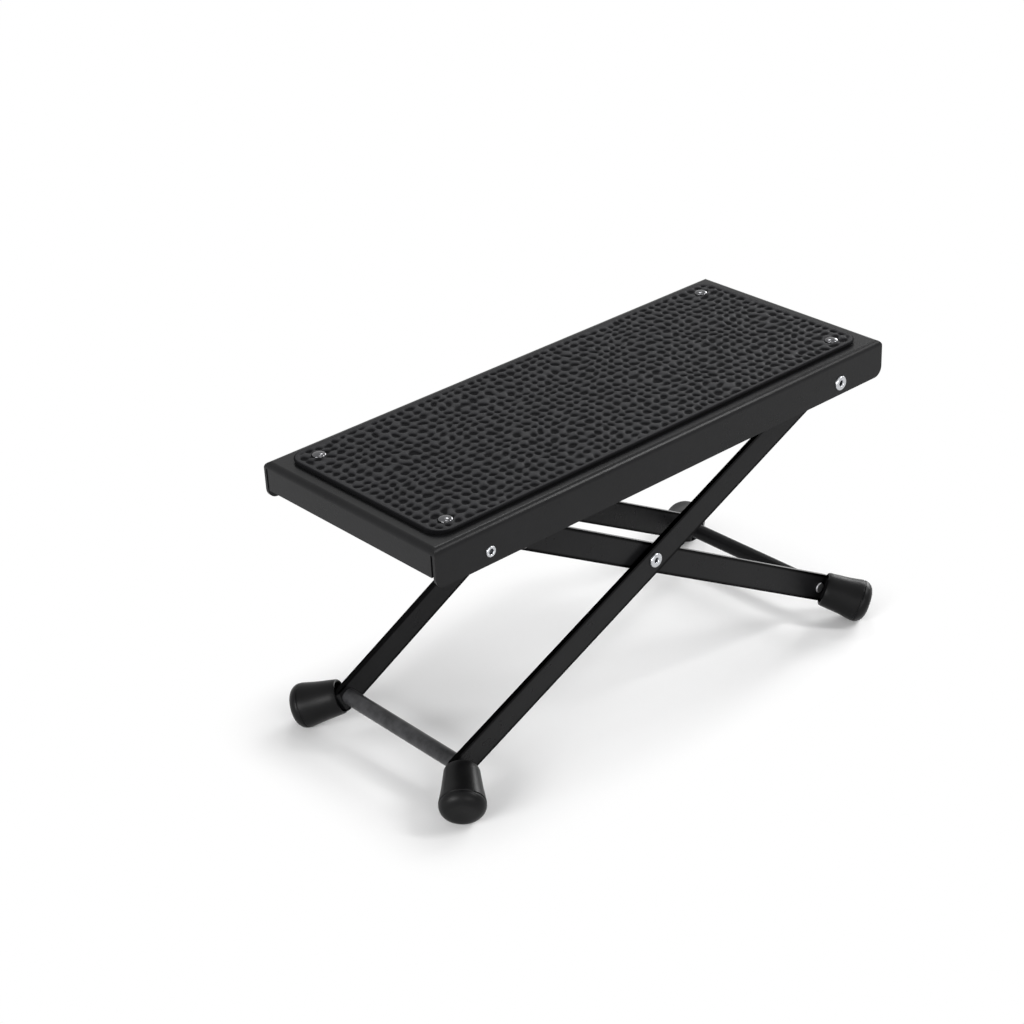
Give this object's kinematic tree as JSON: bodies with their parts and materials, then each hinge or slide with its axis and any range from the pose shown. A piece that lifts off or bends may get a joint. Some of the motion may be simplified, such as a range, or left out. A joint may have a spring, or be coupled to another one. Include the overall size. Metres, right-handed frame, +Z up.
{
  "type": "folding footrest",
  "caption": "Folding, height-adjustable footrest: a pressed steel tread with a rubber mat on two crossing flat-bar frames with splayed rubber feet.",
  "frame": {"origin": "on the floor, straight under the rivets where the two frames cross, which is within 0.1 mm of the middle of the bounding box", "axes": "+X along the tread towards its hinged end, +Y towards the rear, +Z up"},
  "size_m": [0.2902, 0.1432, 0.1551],
  "materials": {
    "black_steel": "satin black powder coat",
    "mat_rubber": "pebbled charcoal rubber",
    "foot_rubber": "smooth black rubber",
    "zinc_steel": "bright zinc plate",
    "dark_steel": "polished dark plate",
    "bush_plastic": "black nylon"
  },
  "bodies": {
    "tread": {"top_plate": "black_steel", "rubber_mat": "mat_rubber", "mat_studs": "dark_steel", "rack_rail_front": "black_steel", "rack_rail_rear": "black_steel", "rail_rivet_front": "zinc_steel", "rail_rivet_rear": "zinc_steel", "pivot_rivet_front": "zinc_steel", "pivot_rivet_rear": "zinc_steel", "pivot_bush_front": "bush_plastic", "pivot_bush_rear": "bush_plastic"},
    "outer_frame": {"outer_leg_front": "black_steel", "outer_leg_rear": "black_steel", "outer_crossbar": "black_steel", "outer_foot_front": "foot_rubber", "outer_foot_rear": "foot_rubber", "cross_rivet_front": "zinc_steel", "cross_rivet_rear": "zinc_steel", "cross_washer_front": "bush_plastic", "cross_washer_rear": "bush_plastic"},
    "inner_frame": {"inner_leg_front": "black_steel", "inner_leg_rear": "black_steel", "inner_crossbar": "black_steel", "inner_foot_front": "foot_rubber", "inner_foot_rear": "foot_rubber", "lock_rod": "black_steel"}
  },
  "joints": [
    {"name": "outer_fold", "type": "hinge", "parent": "tread", "child": "outer_frame", "pos_m": [0.11407, 0, 0.13938], "axis": [0, -1, 0], "range_deg": [-20.5, 12.4]},
    {"name": "cross_fold", "type": "hinge", "parent": "outer_frame", "child": "inner_frame", "pos_m": [0, 0, 0.08], "axis": [0, 1, 0], "range_deg": [-47.1, 28.5]}
  ],
  "couplings": [
    {"joint": "cross_fold", "follows": "outer_fold", "ratio": 2.293}
  ]
}
